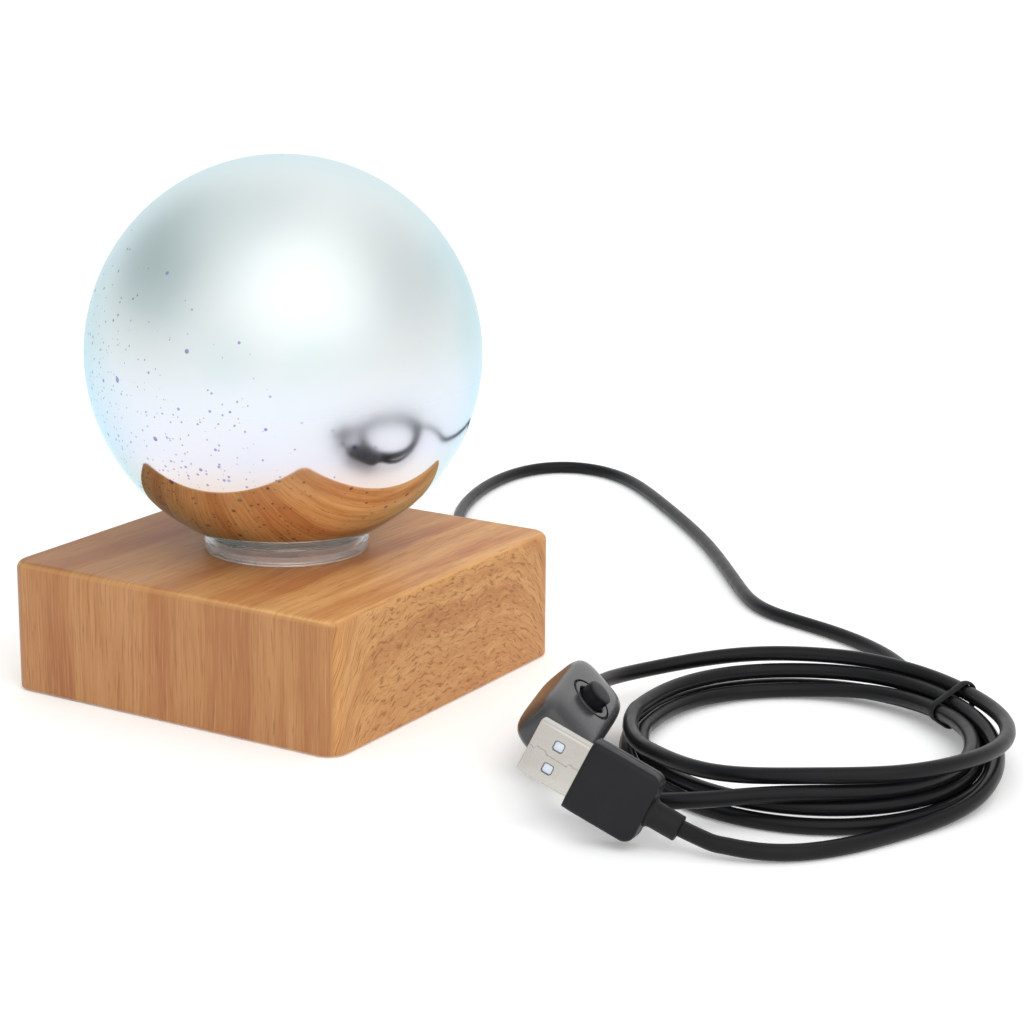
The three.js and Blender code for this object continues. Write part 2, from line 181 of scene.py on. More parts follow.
def loft(loops, matrix=None, closed=False):
    """A skin over loops of equally many points, capped at its ends or closed from the last to the first."""
    made = bmesh.new()
    turn = matrix or Matrix.Identity(4)
    rows = [[made.verts.new(turn @ (Vector(p) * MM)) for p in loop] for loop in loops]
    count = len(rows[0])
    pairs = list(zip(rows, rows[1:])) + ([(rows[-1], rows[0])] if closed else [])
    for a, b in pairs:
        for i in range(count):
            made.faces.new((a[i], a[(i + 1) % count], b[(i + 1) % count], b[i]))
    if not closed:
        made.faces.new(rows[0])
        made.faces.new(rows[-1])
    return made


def lathe(profile, matrix=None, sides=64):
    """A closed solid of revolution about Z through (radius, height) points in mm, radii above zero."""
    loops = [[(r * math.cos(2 * math.pi * i / sides), r * math.sin(2 * math.pi * i / sides), z)
              for i in range(sides)] for r, z in profile]
    return loft(loops, matrix, closed=True)


def outline(width, depth, corner, arc=10, edge=6):
    """Points round a rounded rectangle, the same number whatever its size."""
    points = []
    x, y = width / 2 - corner, depth / 2 - corner
    for k, (cx, cy) in enumerate(((x, y), (-x, y), (-x, -y), (x, -y))):
        for i in range(arc + 1):
            angle = math.pi / 2 * (k + i / arc)
            points.append((cx + corner * math.cos(angle), cy + corner * math.sin(angle)))
        nx, ny = ((-x, y), (-x, -y), (x, -y), (x, y))[k]
        start = points[-1]
        end_angle = math.pi / 2 * (k + 1)
        end = (nx + corner * math.cos(end_angle), ny + corner * math.sin(end_angle))
        for i in range(1, edge):
            t = i / edge
            points.append((start[0] + (end[0] - start[0]) * t, start[1] + (end[1] - start[1]) * t))
    return points


def arc_points(cx, cz, radius, start, end, steps):
    """Points on an arc, angles in degrees."""
    angles = [math.radians(start + (end - start) * i / steps) for i in range(steps + 1)]
    return [(cx + radius * math.cos(a), cz + radius * math.sin(a)) for a in angles]


# ---------------------------------------------------------------- materials
def wood():
    s = Shader("wood", rough=0.42, specular=0.22)
    x, y, z = s.split(s.place)
    normal = s.add("ShaderNodeTexCoord").outputs["Normal"]
    nx, ny, nz = [s.math("ABSOLUTE", n) for n in s.split(normal)]

    def wander(vector, size, detail=2, rough=0.5):
        return s.math("MULTIPLY", s.math("SUBTRACT", s.noise(vector, 1, detail, rough), 0.5), size)

    def times(value, factor):
        return s.math("MULTIPLY", value, factor)

    # Straight grain across X: on top it runs front to rear, and it carries on down the front and rear faces.
    run = s.math("SUBTRACT", y, z)
    straight = s.math("ADD", x, wander(s.join(times(x, 25), times(run, 14), 0.0), 0.006))
    # Figured grain on the side faces: level in the middle, it bends down towards both corners.
    front = times(s.math("EXPONENT", times(s.math("ADD", y, 0.0475), -150)), 0.034)
    rear = times(s.math("EXPONENT", times(s.math("SUBTRACT", 0.0475, y), -120)), 0.024)
    wave = s.math("ADD", wander(s.join(4.0, times(y, 55), times(z, 50)), 0.008),
                  wander(s.join(2.0, times(y, 210), times(z, 150)), 0.0030, 3, 0.6))
    figure = s.math("ADD", s.math("ADD", z, wave), s.math("ADD", front, rear))
    side = s.range(s.math("SUBTRACT", nx, s.math("MAXIMUM", ny, nz)), -0.18, 0.18)

    def grain(across, along, fine, length):
        broad = s.noise(s.join(times(across, 80), times(along, 5), 3.0), 1, 5, 0.62)
        strands = s.noise(s.join(times(across, fine), times(along, length), 7.0), 1, 3, 0.7)
        pores = s.noise(s.join(times(across, fine * 1.7), times(along, length * 3), 1.0), 1, 2, 0.5)
        return broad, strands, pores

    flat, tall = grain(straight, run, 1500, 34), grain(figure, y, 1300, 190)

    def either(i):
        node = s.add("ShaderNodeMix", data_type="FLOAT")
        for socket, value in zip((node.inputs[0], node.inputs[2], node.inputs[3]), (side, flat[i], tall[i])):
            s.put(socket, value)
        return node.outputs[0]

    broad, strands, pores = either(0), either(1), either(2)
    color = s.ramp(broad, ((0.36, (0.35, 0.125, 0.042)), (0.46, (0.43, 0.175, 0.058)),
                           (0.54, (0.52, 0.26, 0.094)), (0.66, (0.61, 0.35, 0.15))))
    color = s.mix(s.range(strands, 0.5, 0.7, 0, 0.5), color, (0.67, 0.41, 0.195))
    color = s.mix(s.range(strands, 0.5, 0.3, 0, 0.66), color, (0.30, 0.11, 0.038))
    color = s.mix(s.range(pores, 0.40, 0.33, 0, 0.55), color, (0.20, 0.085, 0.035))
    # The front is pinker and hazier than the golden sides.
    color = s.mix(times(s.range(ny, 0.5, 0.8), 0.20), color, (0.54, 0.30, 0.17))
    color = s.mix(times(side, 0.28), color, (0.60, 0.36, 0.135))
    color = s.mix(s.range(s.noise(s.place, 26, 2), 0.38, 0.66, 0, 0.22), color, (0.60, 0.36, 0.15))
    # Short dark strokes in the figure, and a lighter line along the rounded top edges of the front and the
    # rear.
    stroke = s.noise(s.join(times(figure, 1300), times(y, 300), 5.0), 1, 3, 0.6)
    color = s.mix(s.math("MULTIPLY", side, s.range(stroke, 0.52, 0.65, 0, 0.85)), color, (0.30, 0.12, 0.036))
    color = s.mix(s.range(s.math("MINIMUM", ny, nz), 0.3, 0.62, 0, 0.35), color, (0.70, 0.44, 0.19))
    color = s.mix(s.range(ny, 0.5, 0.8), color, (0.80, 0.71, 0.68), "MULTIPLY")
    color = s.mix(side, color, (1.06, 0.98, 0.95), "MULTIPLY")
    # Painted shade and light on the top: it is darker and redder towards the left, on the globe's shadow
    # side, and brighter towards the right.
    painted_shade_and_light = ((0.70, 1.22), (0.58, 1.18), (0.48, 1.12))
    tone = s.join(*[s.range(x, -0.045, 0.045, left, right) for left, right in painted_shade_and_light])
    color = s.mix(s.range(nz, 0.6, 0.9), color, tone, "MULTIPLY")
    s.feed("Base Color", color)
    s.feed("Roughness", s.range(strands, 0.3, 0.7, 0.36, 0.50))
    s.bump(s.math("ADD", strands, times(pores, 0.5)), 0.3, 0.00012)
    return s


# Layers of specks on the coating: scale, size in cells, seed and colour.
SPECKS = (
    (290, 0.16, 0.0, (0.20, 0.13, 0.45)),
    (380, 0.17, 5.0, (0.22, 0.42, 0.70)),
    (640, 0.19, 9.0, (0.26, 0.18, 0.50)),
    (900, 0.2, 3.0, (0.28, 0.24, 0.55)),
)


def coated_glass():
    """Mirror coating that turns from cool pearl at the top to lavender below, with fine blue spray specks."""
    s = Shader("coated_glass", (0.85, 0.88, 0.9), 0.04, 1.0)
    s.base.inputs["Specular Tint"].default_value = (0.76, 0.94, 1.0, 1)
    x, y, z = s.split(s.place)
    height = s.range(z, 0.034, 0.127)
    sheen = s.noise(s.place, 16, 2, 0.5, 0.6)
    # The warm tint at the very bottom, round the neck, is a painted reflection of the wood below, on top of
    # the mirror's real one.
    color = s.ramp(height, ((0.0, (0.90, 0.75, 0.66)), (0.08, (0.92, 0.79, 0.70)),
                            (0.24, (0.78, 0.77, 0.86)), (0.42, (0.75, 0.775, 0.84)),
                            (0.6, (0.76, 0.80, 0.81)), (1.0, (0.83, 0.87, 0.87))))
    tint = s.ramp(sheen, ((0.30, (0.80, 0.93, 0.94)), (0.45, (0.97, 0.99, 1.0)), (0.6, (1.0, 0.985, 0.98)),
                          (0.75, (0.93, 0.92, 1.0))))
    color = s.mix(0.75, color, tint, "MULTIPLY")
    # Spray specks, thickest low on the left.
    lower = s.math("ADD", s.math("MULTIPLY", s.math("ADD", z, -0.0796), -0.75),
                   s.math("ADD", s.math("MULTIPLY", x, -0.55), s.math("MULTIPLY", y, -0.35)))
    share = s.range(lower, -0.010, 0.050, 0.0, 0.75)
    for scale, size, seed, tone in SPECKS:
        cells = s.add("ShaderNodeTexVoronoi")
        moved = s.add("ShaderNodeVectorMath", operation="ADD")
        s.put(moved.inputs[0], s.place)
        moved.inputs[1].default_value = (seed, seed, seed)
        s.put(cells.inputs["Vector"], moved.outputs[0])
        cells.inputs["Scale"].default_value = scale
        chance, extent, _ = s.split(cells.outputs["Color"])
        present = s.math("LESS_THAN", chance, s.math("MULTIPLY", share, 0.9))
        radius = s.math("MULTIPLY", s.math("ADD", extent, 0.35), size)
        spot = s.range(s.math("SUBTRACT", cells.outputs["Distance"], radius), 0.03, -0.03)
        color = s.mix(s.math("MULTIPLY", s.math("MULTIPLY", spot, present), 0.75), color, tone)
    s.feed("Base Color", color)
    cloudy = s.range(z, 0.052, 0.090, 0.03, 0.42)
    s.feed("Roughness", s.math("ADD", cloudy, s.range(s.noise(s.place, 60, 3), 0.35, 0.75, -0.01, 0.03)))
    return s


WOOD = wood()
GLASS = coated_glass()
CLEAR = moulded("clear_plastic", (0.95, 0.925, 0.92), 0.12, spread=0.04, grain=400, strength=0.05, tone=0.02)
CLEAR.base.inputs["Transmission Weight"].default_value = 0.8
CLEAR.base.inputs["IOR"].default_value = 1.46
PVC = moulded("black_pvc", (0.006, 0.006, 0.007), 0.33, spread=0.04, grain=900, strength=0.03, specular=0.2)
BLACK = moulded("black_plastic", (0.0095, 0.0095, 0.012), 0.42, grain=3800, strength=0.16, specular=0.22)
GRAPHITE = moulded("graphite_plastic", (0.036, 0.036, 0.039), 0.24, spread=0.03, grain=3000, strength=0.02,
                   specular=0.62)
RUBBER = moulded("rubber", (0.009, 0.009, 0.010), 0.5, spread=0.08, grain=2200, strength=0.15, specular=0.22)
NICKEL = moulded("nickel_steel", (0.55, 0.525, 0.485), 0.27, spread=0.05, grain=1800, strength=0.015, metal=1,
                 tone=0.05)
ALUMINIUM = moulded("aluminium", (0.72, 0.73, 0.75), 0.32, metal=1, tone=0.05, strength=0.05)
GOLD = moulded("gilt_brass", (0.83, 0.60, 0.25), 0.22, metal=1, tone=0.05, strength=0.03)
WHITE = moulded("white_plastic", (0.60, 0.64, 0.73), 0.35, tone=0.04, strength=0.06)
BOARD = moulded("board_green", (0.02, 0.12, 0.06), 0.4, tone=0.25)
RED = moulded("red_insulation", (0.32, 0.02, 0.018), 0.42)
BY_SLOT = {
    "wood": WOOD, "mirror_glass": GLASS, "clear_plastic": CLEAR, "black_pvc": PVC, "black_plastic": BLACK,
    "graphite_plastic": GRAPHITE, "rubber": RUBBER, "nickel_steel": NICKEL, "aluminium": ALUMINIUM,
    "gilt_brass": GOLD, "white_plastic": WHITE, "board_green": BOARD, "red_insulation": RED,
}
for entry in frame["record"]["subparts"]:
    node = frame["nodes"][entry["node"]]
    node.data.materials.clear()
    node.data.materials.append(BY_SLOT[entry["material_slot"]].material)


# ---------------------------------------------------------------- lead
CORD_RADIUS = 1.8
COIL_CENTRE = np.array([135.7, 11.5])
COIL_ACROSS, COIL_ALONG = 39.2, 46.0  # half the oval's width and length
coil_turn = math.radians(31.54)
ACROSS = np.array([math.cos(coil_turn), math.sin(coil_turn)])
ALONG = np.array([-math.sin(coil_turn), math.cos(coil_turn)])
SWITCH_CENTRE = Vector((90.8, -17.7, 10.1))
heading = Vector((-0.303, 0.953, 0)).normalized()


def on_coil(angle, out, height):
    """A point of the coil: angle round its oval, distance out from the middle of the turns, and height."""
    c, s = math.cos(math.radians(angle)), math.sin(math.radians(angle))
    spot = COIL_CENTRE + ACROSS * (COIL_ACROSS + out) * c + ALONG * (COIL_ALONG + out) * s
    return spot[0], spot[1], height


def wound(stations):
    """Points every 15 degrees or so through (angle, out, height) stations, easing from one to the next."""
    points = []
    for (a, out_a, high_a), (b, out_b, high_b) in zip(stations, stations[1:]):
        steps = max(1, round((a - b) / 15))
        for i in range(steps):
            ease = (i / steps) ** 2 * (3 - 2 * i / steps)
            points.append(on_coil(a + (b - a) * i / steps, out_a + (out_b - out_a) * ease,
                                  high_a + (high_b - high_a) * ease))
    return points + [on_coil(*stations[-1])]


def smooth_line(points, steps=16):
    """A Catmull-Rom line through points."""
    p = np.array(points, float)
    p = np.vstack([2 * p[0] - p[1], p, 2 * p[-1] - p[-2]])
    t = np.linspace(0, 1, steps, endpoint=False)[:, None]
    line = [0.5 * (2 * b + (c - a) * t + (2 * a - 5 * b + 4 * c - d) * t**2 + (3 * b - a - 3 * c + d) * t**3)
            for a, b, c, d in zip(p, p[1:], p[2:], p[3:])]
    return np.vstack(line + [p[-2:-1]])


def evenly(line, step):
    """The same line with its points a step apart."""
    along = np.concatenate([[0], np.cumsum(np.linalg.norm(np.diff(line, axis=0), axis=1))])
    marks = np.linspace(0, along[-1], int(along[-1] / step))
    return np.stack([np.interp(marks, along, line[:, k]) for k in range(3)], 1)


def settled(line, gap=3.68, rounds=60):
    """Strands that lie in each other move apart to a gap, and none goes below the desk.

    The stretch in the switch and both ends of the line stay where they are.
    """
    line = line.copy()
    count = len(line)
    neighbours, switch_reach, ends = 7, 22.5, (8, 6)
    i, j = np.triu_indices(count, neighbours)
    free = np.ones(count)
    free[np.linalg.norm(line - np.array(SWITCH_CENTRE), axis=1) < switch_reach] = 0
    free[:ends[0]], free[-ends[1]:] = 0, 0
    for _ in range(rounds):
        offset = line[j] - line[i]
        distance = np.linalg.norm(offset, axis=1)
        near = distance < gap
        a, b = i[near], j[near]
        away = offset[near] / distance[near, None] * (0.3 * (gap - distance[near]))[:, None]
        push, touching = np.zeros_like(line), np.zeros(count)
        np.add.at(push, a, -away)
        np.add.at(push, b, away)
        np.add.at(touching, a, 1)
        np.add.at(touching, b, 1)
        line += push / np.sqrt(np.maximum(touching, 1))[:, None] * free[:, None]
        relax = np.zeros_like(line)
        relax[2:-2] = (line[:-4] + 2 * line[1:-3] + 2 * line[3:-1] + line[4:]) / 6 - line[2:-2]
        line += 0.1 * relax * free[:, None]
        line[:, 2] = np.maximum(line[:, 2], CORD_RADIUS)
    return line


# The route in mm, in seven stretches from the block to the plug.
base_run = [
    (0, 44, 9.5), (0, 50, 9.5), (0, 55.6, 9.3), (-0.6, 63, 7.9), (-3, 74, 4.4), (-8.5, 90, 2.1),
    (-18, 106, 1.85), (-30, 124, 1.85), (-41, 141, 1.85), (-49, 160, 1.85), (-54, 181, 1.85),
    (-54, 200, 1.85), (-47.5, 211.5, 1.85), (-35, 214, 1.85), (-19.5, 207, 1.85), (4, 186, 1.85),
    (32.5, 157.5, 1.85), (52.5, 133.5, 1.85), (70, 111.5, 1.85), (78.5, 103, 1.85), (88.5, 100.6, 1.85),
    (104.6, 96, 1.85), (119, 88.5, 1.85), (130.5, 78.5, 2), (136.6, 69.3, 2.2), (141.2, 62, 3.2),
]
first_turns = wound([
    (43, 3.7, 4.7), (24, 3.9, 5.4), (-5, 2.4, 2.2), (-90, 1.2, 1.85), (-270, 1.5, 1.85), (-315, 0.6, 2.7),
    (-336, 0.7, 3.5), (-362, -0.8, 3.1), (-450, -1, 5.3), (-540, -1.9, 3.6), (-630, -2.5, 1.9),
    (-676, -2.4, 4.6), (-696, -2.5, 5.4), (-724, -2.4, 6.7), (-800, -0.6, 8.8), (-826, -0.4, 9),
])
into_switch = [
    (140.5, -39.3, 7.6), (132.5, -42.3, 6.4), (123.5, -45.6, 5.6), (115, -49.2, 5.2), (107.6, -51.2, 6.2),
    (101.7, -47.2, 8.2), (98.6, -42.6, 9.7), (97.3, -38.4, 10.1),
]
through_switch = [tuple(SWITCH_CENTRE + heading * t) for t in (-16, 0, 16)]
out_of_switch = [
    (83.9, 4.5, 10), (81.6, 12, 8.9), (81, 18.5, 7.8), (82.8, 25.2, 7.2), (87.5, 33.6, 7.6),
    (94.5, 41.5, 8.6), (104, 48.5, 9.8),
]
last_turns = wound([
    (87, 1.5, 9.8), (60, 3.2, 9.6), (40, 3.8, 9.2), (24, 4, 9.1), (2, 5.6, 9.4), (-20, 5.2, 10.6),
    (-50, 2, 12.2), (-90, -1.2, 12.7), (-140, 0.2, 9), (-180, 0.7, 7.2), (-225, 0.4, 6.3), (-270, 0.4, 6),
    (-315, 0.6, 7.1), (-336, 0.7, 7.2), (-366, 2.9, 5.4), (-400, 3.6, 2.6), (-425, 4, 1.85),
])
to_plug = [
    (169.6, -32.5, 1.85), (163, -43, 1.85), (156.8, -49.4, 1.9), (151, -51.8, 2.3), (146, -52.4, 3.1),
    (141.8, -52.6, 4.1), (138, -53, 5.2), (133.5, -53.9, 7.1),
]
route = base_run + first_turns + into_switch + through_switch + out_of_switch + last_turns + to_plug
lead_line = settled(evenly(smooth_line(route), 2.5))

curve = bpy.data.curves.new("lead", "CURVE")
curve.dimensions, curve.resolution_u, curve.use_fill_caps = "3D", 3, True
curve.bevel_depth, curve.bevel_resolution = CORD_RADIUS * MM, 5
spline = curve.splines.new("NURBS")
spline.points.add(len(lead_line) - 1)
for point, at in zip(spline.points, lead_line):
    point.co = (*(at * MM), 1)
spline.order_u, spline.use_endpoint_u, spline.use_smooth = 4, True, True
lead = bpy.data.objects.new("lead", curve)
scene.collection.objects.link(lead)
curve.materials.append(PVC.material)
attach(lead, "lamp")
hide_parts("lead_run", "switch_in_lead", "switch_out_lead", "plug_lead", "cord_coil", "lead_inner")


# ---------------------------------------------------------------- wooden block
def wooden_block():
    low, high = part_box("base_block")
    side, top, bottom = (high.x - low.x) / MM, high.z / MM, low.z / MM
    corner, edge = 5.1, 2.0
    hole, ceiling, cavity, recess, recess_top = 18.2, 22, 75, 82, 4

    def ring(inset, z, width=side, radius=corner):
        return [(x, y, z) for x, y in outline(width - 2 * inset, width - 2 * inset, max(radius - inset, 0.6))]

    def circle(radius, z):
        return [(radius * x / math.hypot(x, y), radius * y / math.hypot(x, y), z)
                for x, y in outline(20, 20, 5)]

    loops = [circle(hole, top), circle(hole, ceiling), ring(0, ceiling, cavity, 5),
             ring(0, recess_top, cavity, 5), ring(0, recess_top, recess, 3.4), ring(0, bottom, recess, 3.4),
             ring(0.35, bottom), ring(0.1, bottom + 0.12), ring(0, bottom + 0.4)]
    loops += [ring(0, bottom + (top - edge - bottom) * t) for t in (0.2, 0.4, 0.6, 0.8)]
    loops += [ring(edge - edge * math.cos(math.radians(a)), top - edge + edge * math.sin(math.radians(a)))
              for a in range(0, 91, 10)]
    rim = list(zip(ring(edge, top), circle(hole + 0.4, top)))
    loops += [[(x * (1 - t) + cx * t, y * (1 - t) + cy * t, top) for (x, y, _), (cx, cy, _) in rim]
              for t in (0.03, 0.3, 0.65, 1)]
    finish_mesh("wooden_block", loft(loops, closed=True), WOOD, ["base_block"], smooth_angle=50)


wooden_block()


# ---------------------------------------------------------------- globe and collar
def globe():
    low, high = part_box("glass_globe")
    radius = 47.5
    centre = high.z / MM - radius
    neck, bottom, wall, fillet = 17.7, low.z / MM, 1.2, 2.8
    reach = radius + fillet
    drop = math.sqrt(reach**2 - (neck + fillet) ** 2)
    join = math.degrees(math.asin((neck + fillet) / reach))
    profile = [(neck - wall, bottom + 0.4), (neck - 0.6, bottom), (neck, bottom + 0.4)]
    profile += arc_points(neck + fillet, centre - drop, fillet, 180, 90 + join, 8)
    profile += [(radius * math.sin(math.radians(a)), centre - radius * math.cos(math.radians(a)))
                for a in np.linspace(join + 1.2, 179.6, 90)]
    inner = radius - wall
    start = math.degrees(math.asin((neck - wall) / inner))
    profile += [(inner * math.sin(math.radians(a)), centre - inner * math.cos(math.radians(a)))
                for a in np.linspace(179.6, start, 40)]
    skin = lathe(profile, sides=160)
    finish_mesh("globe", skin, GLASS, ["glass_globe"], smooth_angle=60)


globe()


def collar():
    low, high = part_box("collar_ring")
    inner, outer, sunk = 18.0, (high.x - low.x) / 2 / MM, 0.25
    z0, z1 = low.z / MM - sunk, high.z / MM
    profile = [(outer - 1.5, z1 - 0.15), (outer - 1.1, z1 - 0.5)]
    profile += arc_points(outer - 0.5, z1 - 1.3, 0.5, 80, 0, 4)
    profile += [(outer, z0 + 1)]
    profile += arc_points(outer - 0.3, z0 + 0.3, 0.3, 0, -90, 3)
    profile += [(inner + 0.2, z0), (inner, z0 + 0.2), (inner, z1 - 0.3)]
    profile += [(inner + 0.15, z1 - 0.05), (inner + 0.35, z1)]
    finish_mesh("collar", lathe(profile, sides=128), CLEAR, ["collar_ring"])


collar()


# ---------------------------------------------------------------- grommet behind the block
def grommet():
    low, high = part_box("cord_grommet")
    start, end = low.y / MM, high.y / MM
    face = 47.5
    profile = [(1.9, start), (3.0, start), (3.1, start + 0.2)]
    profile += [(3.1, face + 0.05), (4.1, face + 0.05), (4.6, face + 0.4)]
    profile += arc_points(3.8, face + 1.0, 0.75, 0, 90, 4)
    for ring in range(4):
        at = face + 2.3 + ring * 1.35
        profile += [(3.55 - 0.18 * ring, at), (3.5 - 0.18 * ring, at + 0.7), (2.95 - 0.15 * ring, at + 0.8),
                    (2.95 - 0.15 * ring, at + 1.2)]
    profile += [(2.35, end - 0.2), (2.2, end), (1.9, end)]
    turn = Matrix.Translation((0, 0, 9.5 * MM)) @ Matrix.Rotation(-math.pi / 2, 4, "X")
    return finish_mesh("grommet", lathe(profile, turn, 48), RUBBER, ["cord_grommet"])


grommet_piece = grommet()

# ---------------------------------------------------------------- inline switch
# The switch's own frame: X along the lead, Z out of the button.
lean = math.radians(47)
press = Vector((heading.y * math.sin(lean), -heading.x * math.sin(lean), math.cos(lean)))
switch_frame = Matrix((heading, press.cross(heading), press)).transposed().to_4x4()
switch_frame.translation = SWITCH_CENTRE * MM
LENGTH, WIDTH, THICK = 37, 16.8, 13.6
FACE = THICK / 2


REACH = 0.985  # how far the housing goes before its ends are cut flat, as a share of its half length


def pillow_loops():
    """Loops of a rounded pillow: rounded rectangles that shrink towards flat ends."""
    stations, sides, squareness = 40, 72, 0.45
    loops = []
    for i in range(stations + 1):
        s = REACH * math.sin(math.pi * (i / stations - 0.5))
        scale = (1 - abs(s) ** 5) ** 0.2
        loop = []
        for j in range(sides):
            angle = 2 * math.pi * j / sides
            c, n = math.cos(angle), math.sin(angle)
            loop.append((s * LENGTH / 2, scale * WIDTH / 2 * math.copysign(abs(c) ** squareness, c),
                         scale * THICK / 2 * math.copysign(abs(n) ** squareness, n)))
        loops.append(loop)
    return loops


def cut(piece, cutters):
    """Takes the cutters' shapes out of a piece and drops them."""
    for tool in cutters:
        modifier = piece.modifiers.new("cut", "BOOLEAN")
        modifier.operation, modifier.object, modifier.solver = "DIFFERENCE", tool, "EXACT"
    graph = bpy.context.evaluated_depsgraph_get()
    made = bpy.data.meshes.new_from_object(piece.evaluated_get(graph), depsgraph=graph)
    # The boolean leaves slivers a few microns wide where it crosses an old edge.
    sliver = 0.004 * MM
    tidied = bmesh.new()
    tidied.from_mesh(made)
    bmesh.ops.remove_doubles(tidied, verts=tidied.verts, dist=sliver)
    bmesh.ops.dissolve_degenerate(tidied, edges=tidied.edges, dist=sliver)
    tidied.to_mesh(made)
    tidied.free()
    piece.modifiers.clear()
    piece.data = made
    for tool in cutters:
        bpy.data.objects.remove(tool)
    made.set_sharp_from_angle(angle=math.radians(35))


def cutter(source):
    """A shape for cut(), not a piece of the object."""
    mesh = bpy.data.meshes.new("cutter")
    bmesh.ops.recalc_face_normals(source, faces=source.faces)
    source.to_mesh(mesh)
    source.free()
    made = bpy.data.objects.new("cutter", mesh)
    scene.collection.objects.link(made)
    return made


def disc(radius, low, high, matrix, sides=64):
    angles = [2 * math.pi * i / sides for i in range(sides)]
    circle = [(radius * math.cos(a), radius * math.sin(a)) for a in angles]
    return loft([[(x, y, z) for x, y in circle] for z in (low, high)], matrix)


housing = finish_mesh("switch_housing", loft(pillow_loops(), switch_frame), GRAPHITE,
                      ["switch_shell_top", "switch_shell_bottom"], smooth_angle=35)
ring_seat = cutter(disc(5.6, FACE - 1.1, FACE + 3, switch_frame))
button_well = cutter(disc(3.5, 2, FACE + 3, switch_frame, 48))
screw_wells = [cutter(disc(2.2, -FACE - 3, 2.4 - FACE, switch_frame @ Matrix.Translation((x * MM, 0, 0)), 32))
               for x in (-12, 12)]
cut(housing, [ring_seat, button_well, *screw_wells])

bezel_profile = [(5, FACE - 1), *arc_points(4.75, FACE - 0.25, 0.25, 0, 90, 4), (3.85, FACE - 0.08),
                 (3.65, FACE - 0.3), (3.6, FACE - 1)]
bezel = finish_mesh("switch_ring", lathe(bezel_profile, switch_frame, 72), GRAPHITE,
                    ["switch_bezel"])

# The button's foot stays above the lead when it is pressed in.
foot, top = 3.7, FACE + 2.9
button_profile = [(0.02, foot), (3.1, foot), (3.1, top - 0.7), (2.95, top - 0.65), (2.95, top - 0.5)]
button_profile += [(3.1, top - 0.45), *arc_points(2.7, top - 0.4, 0.4, 0, 80, 5)]
button_profile += [(1.6, top + 0.04), (0.02, top + 0.06)]
button = finish_mesh("button_cap", lathe(button_profile, switch_frame), BLACK,
                     ["switch_button"], body="button", smooth_angle=30)


def gland(side):
    end = LENGTH / 2 * REACH
    profile = [(1.85, end - 1), (2.9, end - 1), (3.0, end + 0.4)]
    profile += arc_points(2.5, end + 0.6, 0.45, 0, 80, 3)
    profile += [(2.45, end + 1.5), (2.35, end + 3.2), (2.15, end + 3.5), (1.85, end + 3.5)]
    return lathe(profile, switch_frame @ Matrix.Rotation(side * math.pi / 2, 4, "Y"), 48)


glands = [finish_mesh(f"switch_gland_{i}", gland(side), RUBBER, [node])
          for i, (side, node) in enumerate(((1, "switch_gland_far"), (-1, "switch_gland_near")))]

# ---------------------------------------------------------------- plug
# The plug's own frame: X out of its open end, -Z out of the face with the seam, origin at the grip's end.
tip = Vector((-0.896, -0.177, 0.407)).normalized()
across = Vector((0.348, 0.289, 0.892))
across = (across - tip * across.dot(tip)).normalized()
plug_frame = Matrix((tip, across, tip.cross(across))).transposed().to_4x4()
plug_frame.translation = Vector((116.6, -57.3, 14.7)) * MM


def slab_x(width, thick, corner, stations, arc=5, edge=4):
    """Loops along X of a rounded rectangle, width in Y and thickness in Z, at (x, inset) stations."""
    loops = []
    for x, inset in stations:
        loop = outline(width - 2 * inset, thick - 2 * inset, max(corner - inset, 0.05), arc, edge)
        loops.append([(x, y, z) for y, z in loop])
    return loops


SHELL_WIDTH, SHELL_THICK = 12, 4.5


def plug_shell():
    wall = 0.36
    outside = slab_x(SHELL_WIDTH, SHELL_THICK, 0.75,
                     ((-6, 0), (0, 0), (6, 0), (11.7, 0), (11.85, 0.05), (11.9, 0.16)))
    inside = slab_x(SHELL_WIDTH - 2 * wall, SHELL_THICK - 2 * wall, 0.45,
                    ((11.82, 0), (6, 0), (0, 0), (-6, 0)))
    return loft(outside + inside, plug_frame, closed=True)


shell = finish_mesh("plug_shell", plug_shell(), NICKEL, ["usb_shell"], smooth_angle=35)


WINDOW_X, WINDOW_Y = 6.0, 2.6


def window(y):
    """One latch window, cut through both faces of the shell."""
    sides = outline(2.5, 2.3, 0.6, 5, 2)
    return cutter(loft([[(WINDOW_X + a, y + b, z) for a, b in sides] for z in (-3, 3)], plug_frame))


def seam_cut():
    """The jigsaw joint down the shell's face: a thin groove through a zigzag of corners."""
    line = [(12.4, 0.1), (11.1, 0.15), (10.75, -0.25), (10.4, -0.1), (10.25, 0.55), (9.8, 0.6), (9.3, 0.5),
            (8.1, 0.55), (7.55, -0.1), (7.2, -0.05), (3.2, -0.15), (2.75, -0.25), (2.5, 0.5), (2.1, 0.6),
            (1.5, 0.35), (-0.6, 0.35)]
    half = 0.11
    left, right = [], []
    for k, (x, y) in enumerate(line):
        before, after = line[max(k - 1, 0)], line[min(k + 1, len(line) - 1)]
        way = Vector((after[0] - before[0], after[1] - before[1])).normalized()
        left.append((x - way.y * half, y + way.x * half))
        right.append((x + way.y * half, y - way.x * half))
    loop = left + right[::-1]
    return cutter(loft([[(x, y, z) for x, y in loop] for z in (-2.4, -1.98)], plug_frame))


cut(shell, [window(-WINDOW_Y), window(WINDOW_Y), seam_cut()])


def tongue():
    thick, wall_and_gap = 1.7, 0.7
    middle = wall_and_gap + (thick - SHELL_THICK) / 2
    loops = slab_x(10.4, thick, 0.25, ((-6, 0), (0, 0), (11.2, 0), (11.4, 0.15)), 3, 3)
    return loft([[(x, y, z + middle) for x, y, z in loop] for loop in loops], plug_frame)


finish_mesh("plug_tongue", tongue(), WHITE, ["usb_tongue"])


